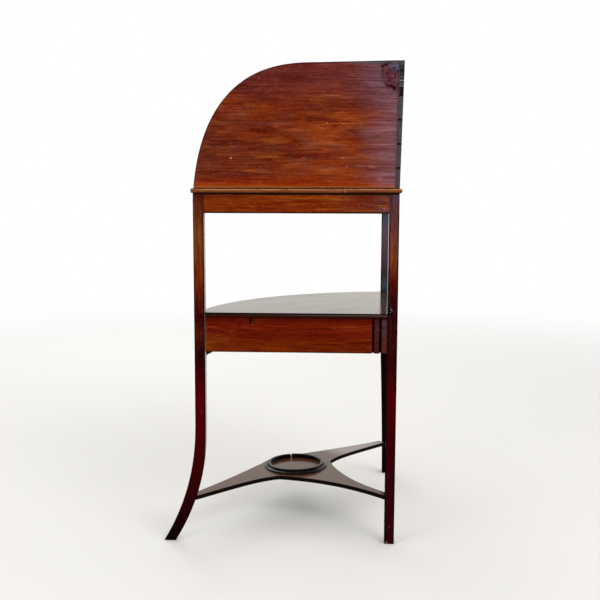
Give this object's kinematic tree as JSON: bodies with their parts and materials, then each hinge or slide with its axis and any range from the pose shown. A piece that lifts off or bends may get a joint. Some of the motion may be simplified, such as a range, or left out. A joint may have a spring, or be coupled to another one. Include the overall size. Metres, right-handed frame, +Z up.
{
  "type": "corner washstand",
  "caption": "Bow-front wooden corner washstand with a high splash gallery, a pierced basin top, a drawer tier and a ring stretcher between swept legs.",
  "frame": {"origin": "on the floor, under the middle of the whole stand's bounding box", "axes": "+Z up; +Y towards the rear corner that stands in the corner of a room; the bow front and its drawer face -Y; +X to the right seen from the front"},
  "size_m": [0.7452, 0.4506, 1.0613],
  "materials": {
    "faded_mahogany": "old waxed polish, faded and stained",
    "red_mahogany": "polished, satin",
    "dark_mahogany": "dark stained and polished",
    "polished_mahogany": "french polished, glossy",
    "ebonised_wood": "black polished",
    "oak_lining": "bare planed oak",
    "pine_block": "bare sawn pine",
    "brass": "turned, dull polish",
    "iron_screw": "dark iron"
  },
  "bodies": {
    "carcase": {"corner_leg": "dark_mahogany", "front_leg_right": "dark_mahogany", "front_leg_left": "dark_mahogany", "washtop": "polished_mahogany", "frieze_right": "red_mahogany", "frieze_left": "red_mahogany", "frieze_bow": "red_mahogany", "bead_right_short": "dark_mahogany", "bead_right_long": "dark_mahogany", "bead_left": "dark_mahogany", "bead_bow": "dark_mahogany", "gallery_right": "faded_mahogany", "gallery_left": "faded_mahogany", "soap_shelf": "faded_mahogany", "gallery_screw_right_1": "iron_screw", "gallery_screw_right_2": "iron_screw", "gallery_screw_left_1": "iron_screw", "gallery_screw_left_2": "iron_screw", "top_block_right": "pine_block", "top_block_left": "pine_block", "bow_block_right": "pine_block", "bow_block_left": "pine_block", "shelf": "polished_mahogany", "shelf_block_right": "pine_block", "shelf_block_left": "pine_block", "case_side_right": "red_mahogany", "case_side_left": "red_mahogany", "case_strip_1": "red_mahogany", "case_strip_2": "red_mahogany", "case_batten": "pine_block", "front_rail": "red_mahogany", "divider_right": "red_mahogany", "divider_left": "red_mahogany", "dummy_front_right": "red_mahogany", "dummy_front_left": "red_mahogany", "dummy_bead_right": "dark_mahogany", "dummy_bead_left": "dark_mahogany", "dummy_knob_right": "brass", "dummy_knob_left": "brass", "dummy_knob_right_nut": "brass", "dummy_knob_left_nut": "brass", "drawer_runner_right": "oak_lining", "drawer_runner_left": "oak_lining", "drawer_guide_right": "oak_lining", "drawer_guide_left": "oak_lining", "drawer_stop_right": "oak_lining", "drawer_stop_left": "oak_lining", "stretcher": "polished_mahogany", "stretcher_ring": "ebonised_wood"},
    "drawer": {"drawer_front": "red_mahogany", "drawer_bead": "dark_mahogany", "drawer_side_right": "oak_lining", "drawer_side_left": "oak_lining", "drawer_back": "oak_lining", "drawer_bottom": "oak_lining", "drawer_knob": "brass", "drawer_knob_nut": "brass"}
  },
  "joints": [
    {"name": "drawer_slide", "type": "slide", "parent": "carcase", "child": "drawer", "axis": [0, -1, 0], "range_m": [0, 0.2]}
  ]
}
